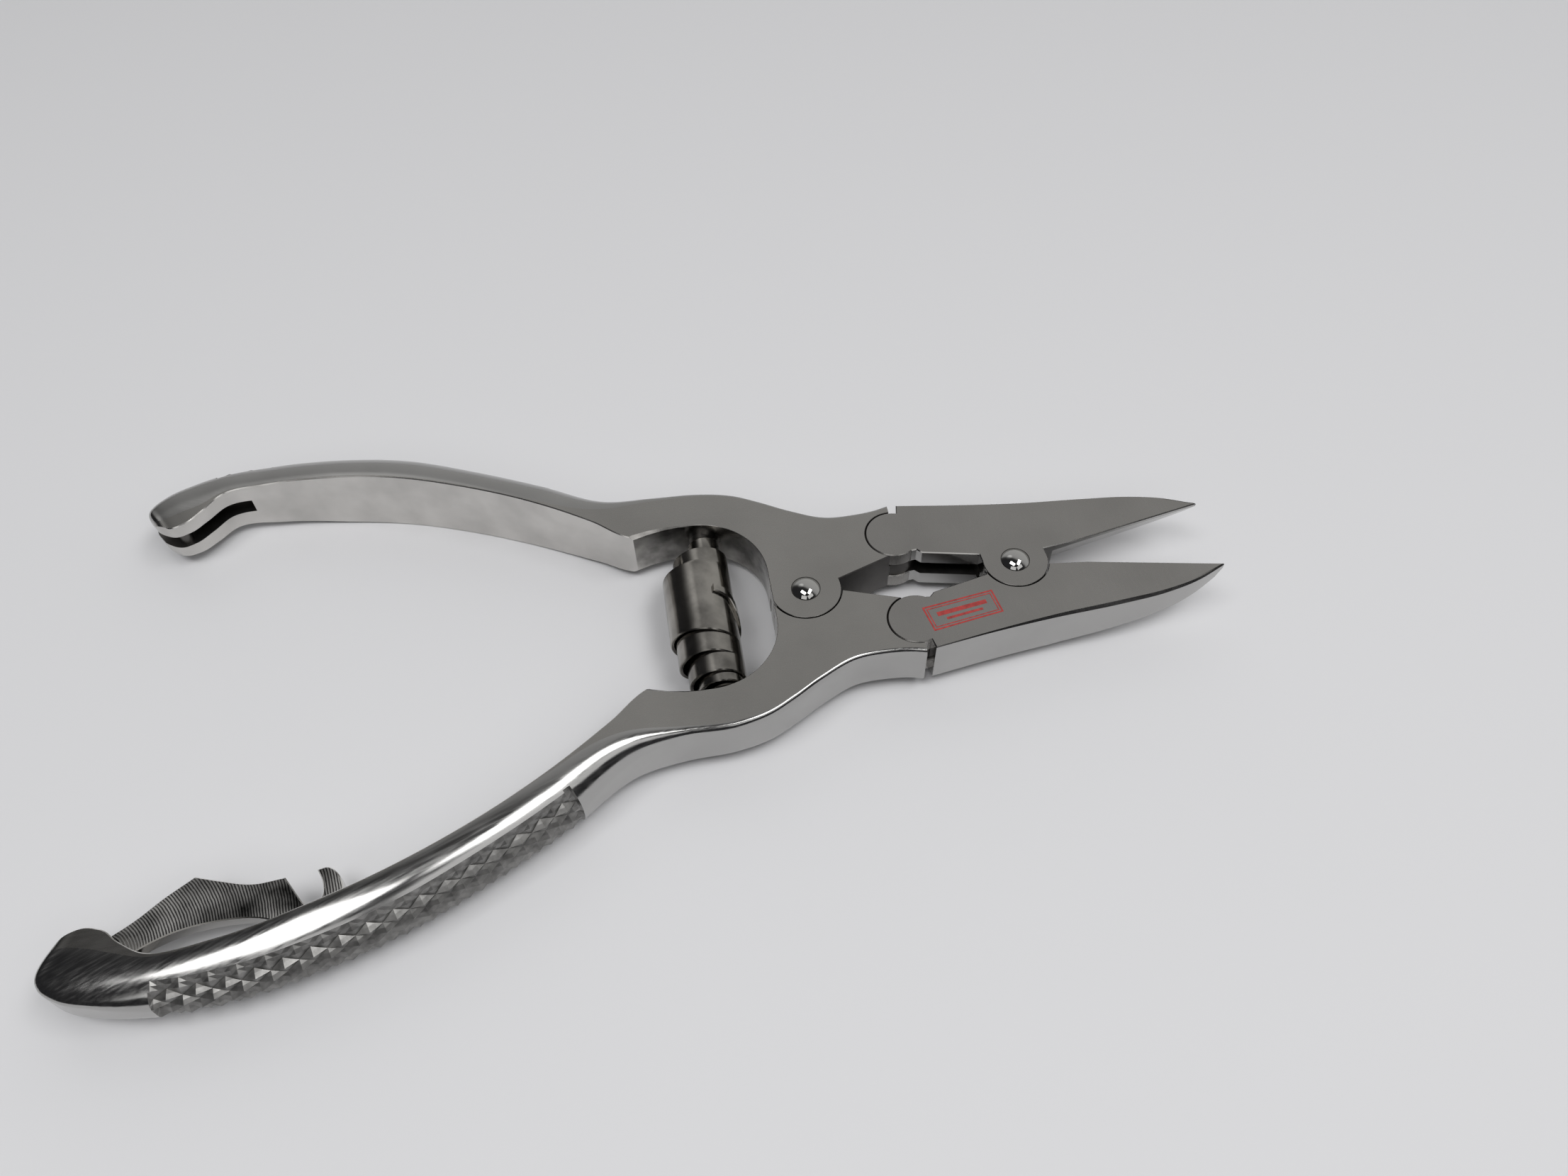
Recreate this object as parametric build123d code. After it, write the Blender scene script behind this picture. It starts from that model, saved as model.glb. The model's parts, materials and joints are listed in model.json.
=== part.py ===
"""Double-action nail trimmer for pets: two handles, two blades, four pivots, a barrel spring and an end lock.

The design frame has the handle pivot at the origin, +X towards the blade tips, +Y towards the upper handle
and z = 0 in the middle of the plate thickness. Everything is drawn with the trimmer open, as the spring
holds it. The last step moves it all so that the origin is under the middle of the whole tool, on its rest plane.
Each handle and blade is drawn for the upper side; the lower one is its mirror image with its own details.
"""

import os
from math import asin, atan2, cos, degrees, hypot, pi, radians, sin

from build123d import *

# ---- linkage: four pivots on a kite ----------------------------------------------------------
PIVOT_SPACING = 31.6        # handle pivot to blade pivot, open
KNUCKLE_X = 14.8            # knuckle, where a handle drives its blade
KNUCKLE_Y = 7.95
BLADE_CLOSING = 10.95       # degrees that each blade turns to bring the edges together

# ---- thickness, measured from the middle plane ------------------------------------------------
HEAD_HALF = 3.75            # blades and the front of the handles
GRIP_HALF = 5.7             # thickest part of the grips
TONGUE_HALF = 1.25          # handle tongue inside the forked blade
LAP_GAP = 0.05              # each half-lapped lug stays this far from the middle plane

# ---- pivots -------------------------------------------------------------------------------------
HANDLE_LUG_R = 5.18
BLADE_LUG_R = 4.83
KNUCKLE_R = 4.17
TONGUE_R = 3.9
LUG_CLEARANCE = 0.12        # between a lug and the hollow that it turns in
RIVET_R = 1.6
RIVET_HEAD_R = 2.05
RIVET_HEAD_HEIGHT = 0.95
KNUCKLE_PIN_R = 1.3
RUNNING_FIT = 0.05          # radial, between a pin and the piece that turns on it
LOOP_FIT = 0.08             # radial, at the blade pivot, where the linkage closes

# ---- blades ---------------------------------------------------------------------------------------
EDGE_LAND = 0.55            # flat strip of the cutting edge, down from the top face
TIP_REACH = 30.85           # blade pivot to tip
BEVEL_START = 6.6           # from the blade pivot to where the ground bevel begins
EDGE_CLEARANCE = 0.03       # each edge stays this far from the centre line when closed

# ---- spring bay and spring -------------------------------------------------------------------------
BAY_R = 10.4
BAY_X = -15.4
BAY_Y = 4.4
BAY_CORNER = (-24.0, 13.5)
# radius, centre x, from y, to y
SPRING_STAGES = ((2.9, -13.8, 11.4, 13.6), (3.8, -14.4, 9.9, 11.4), (4.75, -15.2, 7.2, 9.9),
                 (5.45, -15.4, -5.4, 7.2), (4.65, -15.2, -8.9, -5.4), (4.1, -14.7, -12.1, -8.9),
                 (3.3, -14.1, -13.6, -12.1))
PEG_X = -13.9
PEG_R = 1.7
PEG_REACH = 3.4             # how far a peg stands into the spring
PEG_DEPTH = 3.0             # how far it is pressed into the handle

# ---- end lock -----------------------------------------------------------------------------------------
LEVER_PIVOT = (-95.8, -39.7)
LEVER_MOUTH = (-69.45, -34.9)   # centre of the hook's mouth, folded
LEVER_SWING = 82.3              # degrees, folded to hooked
LEVER_HALF = 1.0
LEVER_EYE_R = 2.9
LEVER_PIN_R = 1.1
CATCH_PIN_R = 0.9
SLOT_HALF = 1.25
PIN_HALF_LENGTH = 3.1           # both lock pins, ground flush inside the rounded ends

KNUCKLE = (KNUCKLE_X, KNUCKLE_Y)
BLADE_PIVOT = (PIVOT_SPACING, 0.0)


def turned(point, angle, centre=(0.0, 0.0)):
    """A plan point turned about a centre, degrees, counter-clockwise."""
    x, y = point[0] - centre[0], point[1] - centre[1]
    c, s = cos(radians(angle)), sin(radians(angle))
    return (centre[0] + c * x - s * y, centre[1] + s * x + c * y)


def handle_closing():
    """Degrees that each handle turns while each blade turns by BLADE_CLOSING."""
    rear = hypot(KNUCKLE_X, KNUCKLE_Y)
    front = hypot(PIVOT_SPACING - KNUCKLE_X, KNUCKLE_Y)
    blade_angle = atan2(KNUCKLE_Y, PIVOT_SPACING - KNUCKLE_X) + radians(BLADE_CLOSING)
    return degrees(asin(front * sin(blade_angle) / rear) - atan2(KNUCKLE_Y, KNUCKLE_X))


HANDLE_CLOSING = handle_closing()
TOTAL_CLOSING = 2 * HANDLE_CLOSING
CATCH = turned(turned(LEVER_MOUTH, LEVER_SWING, LEVER_PIVOT), -TOTAL_CLOSING)


# ---- small helpers ----------------------------------------------------------------------------------
def flat(*edges):
    """A plan face from edges that meet end to end, in any order."""
    return make_face(Curve() + list(edges))


def slab(face, low, high):
    """A plan face as a solid between two heights."""
    return extrude(Pos(0, 0, low) * face, high - low)


def disc(point, radius, low, high):
    """An upright cylinder between two heights."""
    return Pos(point[0], point[1], (low + high) / 2) * Cylinder(radius, high - low)


def mirrored(solid):
    """The same solid on the other side of the centre line."""
    return mirror(solid, about=Plane.XZ)


# ---- handles ------------------------------------------------------------------------------------------
HEAD_OUTER = ((15.0, 13.9), (5.5, 13.3), (0.0, 15.7), (-7.5, 20.0), (-15.0, 21.6), (-20.5, 21.6))
# Stations of each grip: inner point, outer point, half thickness, and the rounding of the outer side as a
# share of the section's width and of its half thickness.
UPPER_GRIP = (
    ((-13.0, 13.0), (-13.0, 21.3), HEAD_HALF, 0.15, 0.3),
    ((-24.0, 13.4), (-20.5, 21.6), 4.2, 0.16, 0.3),
    ((-29.9, 17.1), (-26.8, 22.2), 5.0, 0.55, 0.6),
    ((-39.7, 22.7), (-37.0, 28.1), 5.6, 0.95, 0.95),
    ((-49.5, 27.2), (-47.2, 32.9), GRIP_HALF, 0.95, 0.95),
    ((-59.4, 30.7), (-57.6, 37.2), GRIP_HALF, 0.95, 0.95),
    ((-69.3, 32.7), (-68.6, 39.5), 5.4, 0.95, 0.95),
    ((-79.6, 33.8), (-79.6, 40.5), 4.6, 0.95, 0.95),
    ((-86.6, 33.4), (-87.4, 39.8), 4.0, 0.95, 0.95),
    ((-89.4, 30.7), (-92.0, 38.1), 3.8, 0.9, 0.9),
    ((-91.8, 28.7), (-95.8, 36.2), 3.6, 0.8, 0.9),
    ((-94.2, 28.2), (-97.9, 34.0), 3.4, 0.7, 0.85),
    ((-96.3, 29.2), (-98.4, 32.2), 3.2, 0.6, 0.8),
)
LOWER_GRIP = (
    ((-13.0, -13.0), (-13.0, -21.3), HEAD_HALF, 0.15, 0.3),
    ((-24.0, -13.3), (-20.5, -21.6), 4.2, 0.16, 0.3),
    ((-29.9, -18.3), (-26.4, -22.9), 5.0, 0.55, 0.6),
    ((-39.7, -25.5), (-36.8, -30.2), 5.6, 0.95, 0.95),
    ((-49.5, -31.0), (-47.1, -36.0), GRIP_HALF, 0.95, 0.95),
    ((-59.4, -35.3), (-57.4, -40.9), GRIP_HALF, 0.95, 0.95),
    ((-68.7, -38.2), (-67.2, -44.2), 5.4, 0.95, 0.95),
    ((-79.6, -40.4), (-79.3, -46.9), 4.6, 0.95, 0.95),
    ((-88.0, -40.6), (-88.6, -46.8), 4.0, 0.95, 0.95),
    ((-91.5, -38.5), (-94.2, -45.8), 3.8, 0.9, 0.9),
    ((-94.1, -36.4), (-98.7, -44.3), 3.6, 0.8, 0.9),
    ((-96.7, -35.9), (-101.0, -42.6), 3.4, 0.7, 0.85),
    ((-99.4, -36.9), (-101.8, -40.7), 3.2, 0.6, 0.8),
)


def grip_section(inner, outer, half, round_out, round_up):
    """One upright D-shaped section: flat on the inner side, rounded by quarter ellipses on the outer side."""
    width = hypot(outer[0] - inner[0], outer[1] - inner[1])
    across = ((outer[0] - inner[0]) / width, (outer[1] - inner[1]) / width)
    out = round_out * width
    up = round_up * half
    place = Plane(origin=(*inner, 0), x_dir=(*across, 0), z_dir=(across[1], -across[0], 0))
    edges = [
        Line((0, half), (0, -half)),
        Line((0, -half), (width - out, -half)),
        EllipticalCenterArc((width - out, up - half), out, up, start_angle=270, arc_size=90),
        Line((width, up - half), (width, half - up)),
        EllipticalCenterArc((width - out, half - up), out, up, start_angle=0, arc_size=90),
        Line((width - out, half), (0, half)),
    ]
    return place * make_face(Curve() + edges)


def grip(stations):
    """The grip with its rounded end, through all its stations."""
    return loft([grip_section(*station) for station in stations])


def head_face():
    """Plan of a handle's front: outer edge, spring bay side, pivot, inner edge and knuckle."""
    outer = Spline(*HEAD_OUTER)
    back = Polyline((-20.5, 21.6), (-20.5, 14.0), (-8.0, 11.0), (-4.9, 1.35), (0, 0), (4.9, 0.95), (13.6, 3.95))
    front = Polyline((13.6, 3.95), KNUCKLE, (15.0, 13.9))
    return flat(outer, back, front)


def bay_face():
    """Plan of the spring bay, both sides of the centre line, open to the rear."""
    top = (BAY_X, BAY_Y + BAY_R)
    side = (BAY_X + BAY_R, BAY_Y)
    mid = turned((BAY_X + BAY_R, BAY_Y), 45, (BAY_X, BAY_Y))
    upper_arc = ThreePointArc(side, mid, top)
    upper_edge = Spline(top, (-19.4, 14.6), BAY_CORNER, tangents=((-1, 0), (-1, -0.35)))
    lower_arc = ThreePointArc((side[0], -side[1]), (mid[0], -mid[1]), (top[0], -top[1]))
    lower_edge = Spline((top[0], -top[1]), (-19.4, -14.6), (BAY_CORNER[0], -BAY_CORNER[1]),
                        tangents=((-1, 0), (-1, 0.35)))
    joint = Line(side, (side[0], -side[1]))
    rear = Line(BAY_CORNER, (BAY_CORNER[0], -BAY_CORNER[1]))
    return flat(upper_arc, upper_edge, lower_arc, lower_edge, joint, rear)


def head(lug_low, lug_high):
    """The front of a handle on the upper side. Its pivot lug fills only one half of the thickness."""
    plan = head_face()
    body = slab(plan, -HEAD_HALF, HEAD_HALF)
    body -= disc((0, 0), HANDLE_LUG_R + LUG_CLEARANCE, -HEAD_HALF - 1, HEAD_HALF + 1)
    web = slab(plan, lug_low, lug_high) & disc((0, 0), HANDLE_LUG_R + 1, lug_low, lug_high)
    body += web + disc((0, 0), HANDLE_LUG_R, lug_low, lug_high)
    for low, high in ((TONGUE_HALF, HEAD_HALF + 1), (-HEAD_HALF - 1, -TONGUE_HALF)):
        body -= disc(KNUCKLE, KNUCKLE_R + LUG_CLEARANCE, low, high)
    body += disc(KNUCKLE, TONGUE_R, -TONGUE_HALF, TONGUE_HALF)
    return body - disc(KNUCKLE, KNUCKLE_PIN_R + RUNNING_FIT, -HEAD_HALF, HEAD_HALF)


def peg_bore():
    """A cutter for the spring peg's hole in the upper side of the spring bay."""
    depth = PEG_DEPTH + 1
    return Pos(PEG_X, BAY_Y + BAY_R - 1 + depth / 2, 0) * Rot(90, 0, 0) * Cylinder(PEG_R, depth)


def bay():
    """A cutter for the spring bay."""
    return slab(bay_face(), -GRIP_HALF - 1, GRIP_HALF + 1)


def end_slot(*corners):
    """A cutter for a slot in the middle of the thickness."""
    return slab(flat(Polyline(*corners, corners[0])), -SLOT_HALF, SLOT_HALF)


def lock_pin_bore(point, radius):
    """A cutter for a pin across the rounded end of a handle."""
    return disc(point, radius, -PIN_HALF_LENGTH, PIN_HALF_LENGTH)


def upper_handle():
    """The far handle: pivot lug on top, and a slotted end with the catch pin."""
    body = head(LAP_GAP, HEAD_HALF) + grip(UPPER_GRIP) - bay() - peg_bore()
    body -= disc((0, 0), RIVET_R + RUNNING_FIT, -HEAD_HALF, HEAD_HALF + 1)
    mouth = [(CATCH[0] + dx, CATCH[1] + dy) for dx, dy in ((-5, 3), (-10, -8), (3, -9), (5, -1))]
    body -= disc(CATCH, 4.5, -SLOT_HALF, SLOT_HALF) + end_slot(*mouth)
    body -= end_slot(CATCH, (-88.0, 35.6), (-83.0, 36.4), (-83.0, 31.0))
    return body - lock_pin_bore(CATCH, CATCH_PIN_R)


def lower_handle():
    """The near handle: pivot lug below, and a deep slot that the lock lever folds into."""
    body = mirrored(head(-HEAD_HALF, -LAP_GAP)) + grip(LOWER_GRIP) - bay() - mirrored(peg_bore())
    body -= disc((0, 0), RIVET_R, -HEAD_HALF - 1, HEAD_HALF)
    body -= disc(LEVER_PIVOT, LEVER_EYE_R + 0.5, -SLOT_HALF, SLOT_HALF)
    body -= end_slot((-99.4, -40.0), (-99.4, -30.0), (-64.8, -30.0), (-64.8, -39.0),
                     (-75.0, -42.1), (-85.0, -43.1), (-95.8, -43.2))
    return body - lock_pin_bore(LEVER_PIVOT, LEVER_PIN_R)


# ---- blades ---------------------------------------------------------------------------------------------
BLADE_BACK = ((16.4, 13.4), (25.0, 12.1), (35.0, 10.9), (45.0, 10.1), (52.0, 9.3), (57.0, 8.1), (61.8, 6.05))
BLADE_UNDER = ((33.0, -3.75), (45.0, -2.6), (55.0, -0.6), (63.0, 2.4))   # x and height of the underside
BEVEL_WIDTH = 4.2           # of the ground bevel behind each edge, at the underside
FORK_CUTTER = ((20.6, 1.6), 6.2)    # disc that opens the fork towards the inner side


def blade_face():
    """Plan of a blade: curved back, straight cutting edge, lug, inner edge and knuckle."""
    tip = turned((PIVOT_SPACING + TIP_REACH, EDGE_CLEARANCE), BLADE_CLOSING, BLADE_PIVOT)
    back = Spline(*BLADE_BACK)
    inner = Polyline(BLADE_BACK[-1], tip, (42.0, 2.1), (36.4, 1.45), (36.3, 0.0), (26.75, 0.0), (26.65, 1.9),
                     (18.3, 3.7), (17.6, 4.4), (14.3, 4.1), KNUCKLE, (16.1, 11.9), BLADE_BACK[0])
    return flat(back, inner)


def under_cut():
    """Thins the blade towards its tip from below."""
    curve = Spline(*BLADE_UNDER)
    close = Polyline(BLADE_UNDER[-1], (BLADE_UNDER[-1][0], -9.0), (BLADE_UNDER[0][0], -9.0), BLADE_UNDER[0])
    side = make_face(Curve() + [curve, close])
    return Rot(90, 0, 0) * Pos(0, 0, -20) * extrude(side, 40)


def bevel_cut():
    """The bevel under the cutting edge, as a long prism beside it."""
    top = HEAD_HALF - EDGE_LAND
    outline = Polyline((0, top), (-3, top), (-3, -5), (BEVEL_WIDTH, -5), (0, top))
    prism = extrude(Plane.YZ * make_face(outline), TIP_REACH)
    return Pos(*BLADE_PIVOT) * Rot(0, 0, BLADE_CLOSING) * Pos(BEVEL_START, EDGE_CLEARANCE, 0) * prism


def blade(lug_on_top, rivet_bore):
    """A blade on the upper side. Its pivot lug fills one half of the thickness and is hollow in the other."""
    knuckle_low = TONGUE_HALF + LAP_GAP
    lug = (LAP_GAP, HEAD_HALF) if lug_on_top else (-HEAD_HALF, -LAP_GAP)
    body = slab(blade_face(), -HEAD_HALF, HEAD_HALF)
    body -= disc(KNUCKLE, TONGUE_R + LUG_CLEARANCE, -knuckle_low, knuckle_low)
    body -= disc(FORK_CUTTER[0], FORK_CUTTER[1], -knuckle_low, knuckle_low)
    for low, high in ((knuckle_low, HEAD_HALF), (-HEAD_HALF, -knuckle_low)):
        body += disc(KNUCKLE, KNUCKLE_R, low, high)
    web = slab(blade_face(), lug[0], lug[1]) & disc(BLADE_PIVOT, BLADE_LUG_R + 1, lug[0], lug[1])
    body -= disc(BLADE_PIVOT, BLADE_LUG_R + LUG_CLEARANCE, -HEAD_HALF - 1, HEAD_HALF + 1)
    body += web + disc(BLADE_PIVOT, BLADE_LUG_R, lug[0], lug[1])
    body -= under_cut() + bevel_cut()
    body -= disc(BLADE_PIVOT, rivet_bore, -HEAD_HALF - 1, HEAD_HALF + 1)
    return body - disc(KNUCKLE, KNUCKLE_PIN_R, -HEAD_HALF, HEAD_HALF)


def upper_blade():
    """The far blade, with its lug on top."""
    return blade(True, RIVET_R + LOOP_FIT)


def lower_blade():
    """The near blade, with its lug below. Both blades have their edge in the top face."""
    return mirrored(blade(False, RIVET_R))


# ---- pins, rivets, spring and lever ------------------------------------------------------------------------
def rivet(point):
    """A pivot rivet with a domed head on both faces."""
    ball_r = (RIVET_HEAD_R ** 2 + RIVET_HEAD_HEIGHT ** 2) / (2 * RIVET_HEAD_HEIGHT)
    face = HEAD_HALF + RUNNING_FIT
    top = Pos(0, 0, face + RIVET_HEAD_HEIGHT - ball_r) * Sphere(ball_r)
    top &= Pos(0, 0, face + RIVET_HEAD_HEIGHT / 2) * Box(9, 9, RIVET_HEAD_HEIGHT)
    shank = Cylinder(RIVET_R, 2 * face)
    return Pos(*point) * (shank + top + mirror(top, about=Plane.XY))


def barrel_spring():
    """The volute spring as its stepped outer shape, open along its axis for the two pegs."""
    shell = Part()
    for radius, centre, start, stop in SPRING_STAGES:
        shell += Pos(centre, (start + stop) / 2, 0) * Rot(90, 0, 0) * Cylinder(radius, stop - start)
    return shell - Pos(PEG_X, 0, 0) * Rot(90, 0, 0) * Cylinder(PEG_R + 0.25, 30)


def spring_peg():
    """A stud pressed into the upper side of the spring bay."""
    start = BAY_Y + BAY_R - PEG_REACH
    length = PEG_REACH + PEG_DEPTH - 0.5
    return Pos(PEG_X, start + length / 2, 0) * Rot(90, 0, 0) * Cylinder(PEG_R, length)


def lock_lever():
    """The end lock's lever, folded: eye, thumb wing with its scallop, mouth and crescent hook."""
    wing = Spline((-94.9, -36.95), (-91.1, -34.7), (-88.1, -32.4), (-84.4, -30.0))
    scallop = Spline((-84.4, -30.0), (-81.1, -31.1), (-77.0, -32.2), (-73.0, -32.0))
    mouth = Polyline((-73.0, -32.0), (-70.75, -35.6), (-70.1, -36.3), (-69.3, -36.5), (-68.5, -36.2))
    crescent = Spline((-68.5, -36.2), (-68.1, -34.7), (-68.3, -33.2), (-69.0, -31.6))
    back = Spline((-69.0, -31.6), (-67.7, -31.4), (-66.3, -32.6), (-65.6, -34.7), (-65.9, -37.4))
    under = Spline((-65.9, -37.4), (-67.2, -38.9), (-69.4, -39.5), (-72.0, -38.6), (-75.5, -37.1), (-81.0, -36.6),
                   (-86.5, -37.3), (-91.1, -39.2), (-95.8, -42.6))
    eye = Polyline((-95.8, -42.6), LEVER_PIVOT, (-94.9, -36.95))
    body = slab(flat(wing, scallop, mouth, crescent, back, under, eye), -LEVER_HALF, LEVER_HALF)
    body += disc(LEVER_PIVOT, LEVER_EYE_R, -LEVER_HALF, LEVER_HALF)
    return body - disc(LEVER_PIVOT, LEVER_PIN_R + RUNNING_FIT, -LEVER_HALF, LEVER_HALF)


def knuckle_pin():
    """A pin through the forked blade and the handle's tongue, ground flush."""
    return disc(KNUCKLE, KNUCKLE_PIN_R, -HEAD_HALF, HEAD_HALF)


def lock_pin(point, radius):
    """A pin across the rounded end of a handle."""
    return disc(point, radius, -PIN_HALF_LENGTH, PIN_HALF_LENGTH)


def all_pieces():
    """Every piece in the design frame, by name."""
    return {
        "lower_handle": lower_handle(),
        "upper_handle": upper_handle(),
        "lower_blade": lower_blade(),
        "upper_blade": upper_blade(),
        "handle_pivot_rivet": rivet((0, 0)),
        "blade_pivot_rivet": rivet(BLADE_PIVOT),
        "lower_knuckle_pin": mirrored(knuckle_pin()),
        "upper_knuckle_pin": knuckle_pin(),
        "barrel_spring": barrel_spring(),
        "lower_spring_peg": mirrored(spring_peg()),
        "upper_spring_peg": spring_peg(),
        "lock_lever": lock_lever(),
        "lock_lever_pin": lock_pin(LEVER_PIVOT, LEVER_PIN_R),
        "lock_catch_pin": lock_pin(CATCH, CATCH_PIN_R),
    }


def frame_shift(pieces):
    """From the design frame to the frame under the middle of the whole tool."""
    boxes = [piece.bounding_box() for piece in pieces.values()]
    low = [min(tuple(box.min)[axis] for box in boxes) for axis in range(3)]
    high = [max(tuple(box.max)[axis] for box in boxes) for axis in range(3)]
    return Pos(-(low[0] + high[0]) / 2, -(low[1] + high[1]) / 2, -low[2])


PIECES = all_pieces()
SHIFT = frame_shift(PIECES)
os.makedirs("parts", exist_ok=True)
for name, piece in PIECES.items():
    export_step(SHIFT * piece, f"parts/{name}.step")
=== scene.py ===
"""Looks of the double-action pet nail trimmer.

Every shape is drawn in millimetres in the design frame: handle pivot at the origin, +X to the blade tips,
+Y to the upper handle, z = 0 in the middle of the thickness. placed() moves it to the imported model's frame.
"""
import json
import math

import bmesh
import bpy
import numpy as np
from mathutils import Matrix, Vector


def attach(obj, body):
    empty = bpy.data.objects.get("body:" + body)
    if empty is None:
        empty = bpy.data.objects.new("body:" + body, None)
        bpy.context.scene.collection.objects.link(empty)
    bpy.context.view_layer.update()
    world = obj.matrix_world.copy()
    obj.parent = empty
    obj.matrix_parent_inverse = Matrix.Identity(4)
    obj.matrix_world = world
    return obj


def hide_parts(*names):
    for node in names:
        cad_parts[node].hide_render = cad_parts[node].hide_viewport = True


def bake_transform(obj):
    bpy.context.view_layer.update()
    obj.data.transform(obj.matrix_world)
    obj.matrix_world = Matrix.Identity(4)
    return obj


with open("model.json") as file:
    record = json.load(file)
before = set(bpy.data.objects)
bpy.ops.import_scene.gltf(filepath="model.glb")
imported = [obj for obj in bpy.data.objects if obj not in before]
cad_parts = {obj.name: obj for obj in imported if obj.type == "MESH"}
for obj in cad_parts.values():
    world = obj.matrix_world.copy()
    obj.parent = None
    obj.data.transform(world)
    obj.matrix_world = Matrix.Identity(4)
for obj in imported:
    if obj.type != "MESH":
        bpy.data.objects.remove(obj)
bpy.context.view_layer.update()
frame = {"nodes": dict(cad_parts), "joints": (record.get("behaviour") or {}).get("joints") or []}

# ---- driving dimensions, mm ----------------------------------------------------------------------
JOINTS = {joint["name"]: [1000 * value for value in joint["pos_m"]] for joint in frame["joints"]}
SHIFT = JOINTS["handle_pivot"]          # the design frame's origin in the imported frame


def plan(joint):
    """A joint's place in the design frame's plan."""
    return tuple(value - offset for value, offset in zip(JOINTS[joint][:2], SHIFT))


HEAD = 3.75                             # half thickness of the blades and the front of the handles
TONGUE = 1.25                           # half thickness of the handle's tongue
LAP = 0.05                              # lugs stop this far from the middle plane
KNUCKLE = plan("upper_blade_knuckle")
BLADE_PIVOT = (31.6, 0.0)
HANDLE_LUG, BLADE_LUG = 5.18, 4.83      # radii of the half-lapped lugs
KNUCKLE_DISC, TONGUE_DISC = 4.17, 3.9   # and of the blades' and the handles' knuckles
FORK, FORK_RADIUS = (20.6, 1.6), 6.2    # the rest of the blade's fork, round this point
GAP, LUG_GAP = 0.12, 0.2                # round a knuckle or a dome, and round a lug
BREAK = 0.14                            # chamfer that breaks a machined edge
RIM_BREAK = 0.06                        # and the finer one round the spring bay and the lugs
RIVET = 1.6                             # radius of a rivet's shank
LOWER_BORE, UPPER_BORE, BLADE_BORE = 1.6, 1.65, 1.62        # radii of the holes that are drawn for it
TONGUE_HOLE, BLADE_HOLE, LEVER_HOLE = 1.35, 1.3, 1.15       # radii of the pins' holes
DOME, DOME_RISE, DOME_LIFT = 2.05, 0.95, 0.05               # a dome's radius, height, and edge above the face
RECESS, RECESS_FLOOR = 0.15, 0.02       # depth of the recess round a dome, and the dome's gap above its floor
BLADE_ANGLE = 10.95                     # degrees between the centre line and an open blade's edge
TIP_REACH = 30.85                       # from the blade pivot to the tip
EDGE_OFF = 0.03                         # from a closed blade's edge to the centre line
LEVER_PIVOT = plan("lock_lever_pivot")
LEVER_EYE, LEVER_HALF = 2.9, 1.0        # radius of the lever's eye, and half its thickness
SLOT = 1.25                             # half height of the end slots
WELD = 1e-4                             # points nearer than this are one
SHARP = 32.0                            # degrees: edges from this angle up are drawn sharp
LEVEL_FACE = 0.98                       # least z in the normal of a face that counts as level
SMALL = 0.01                            # depth or distance that counts as none

# ---- handle stations: inner point, outer point, half thickness, rounding out and up (mm) ---------
HEAD_STATIONS = (
    ((15.0, 7.95), (15.0, 13.9), HEAD, 0.65, 1.1),
    ((13.6, 3.95), (13.2, 13.45), HEAD, 0.65, 1.1),
    ((9.3, 2.47), (9.5, 13.1), HEAD, 0.65, 1.15),
    ((4.9, 0.95), (5.5, 13.3), HEAD, 0.7, 1.2),
    ((0.0, 0.0), (0.0, 15.7), HEAD, 0.75, 1.25),
    ((-4.9, 1.35), (-4.4, 18.3), HEAD, 0.8, 1.3),
    ((-8.0, 11.0), (-8.0, 20.15), HEAD, 0.85, 1.3),
    ((-13.0, 13.0), (-13.0, 21.4), HEAD, 0.95, 1.35),
)
UPPER_GRIP = (
    ((-24.0, 13.4), (-20.5, 21.6), 4.2, 1.4, 1.3),
    ((-29.9, 17.1), (-26.8, 22.2), 5.0, 3.3, 3.0),
    ((-39.7, 22.7), (-37.0, 28.1), 5.6, 5.7, 5.3),
    ((-49.5, 27.2), (-47.2, 32.9), 5.7, 5.8, 5.4),
    ((-59.4, 30.7), (-57.6, 37.2), 5.7, 6.4, 5.4),
    ((-69.3, 32.7), (-68.6, 39.5), 5.4, 6.5, 5.1),
    ((-79.6, 33.8), (-79.6, 40.4), 4.6, 6.4, 4.4),
    ((-86.6, 33.4), (-87.4, 39.7), 4.0, 5.9, 2.9),
    ((-89.4, 30.7), (-92.0, 38.0), 3.8, 6.4, 2.1),
    ((-91.8, 28.7), (-95.7, 36.1), 3.6, 5.8, 1.7),
    ((-94.2, 28.2), (-97.8, 34.0), 3.4, 4.6, 1.4),
    ((-96.3, 29.2), (-98.4, 32.2), 3.2, 2.4, 1.2),
)
LOWER_GRIP = (
    ((-24.0, 13.3), (-20.5, 21.6), 4.2, 1.4, 1.3),
    ((-29.9, 18.3), (-26.4, 22.9), 5.0, 3.2, 3.0),
    ((-39.7, 25.5), (-36.8, 30.2), 5.6, 5.2, 5.3),
    ((-49.5, 31.0), (-47.1, 36.0), 5.7, 5.3, 5.4),
    ((-59.4, 35.3), (-57.4, 40.9), 5.7, 5.6, 5.4),
    ((-68.7, 38.2), (-67.2, 44.2), 5.4, 5.9, 5.1),
    ((-79.6, 40.4), (-79.3, 46.8), 4.6, 6.1, 4.4),
    ((-88.0, 40.6), (-88.6, 46.7), 4.0, 5.6, 2.9),
    ((-91.5, 38.5), (-94.2, 45.7), 3.8, 6.2, 2.1),
    ((-94.1, 36.4), (-98.7, 44.2), 3.6, 6.4, 1.7),
    ((-96.7, 35.9), (-100.9, 42.5), 3.4, 5.2, 1.4),
    ((-99.4, 36.9), (-101.7, 40.6), 3.2, 2.8, 1.2),
)
STEP, HEAD_STEP = 0.3, 0.45             # between sections along a handle's end and along its head
HEAD_END = -20.0                        # x where the head's straight inner lines end
LUG_FROM = -2                           # x where the inner side beside the lug starts
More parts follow.
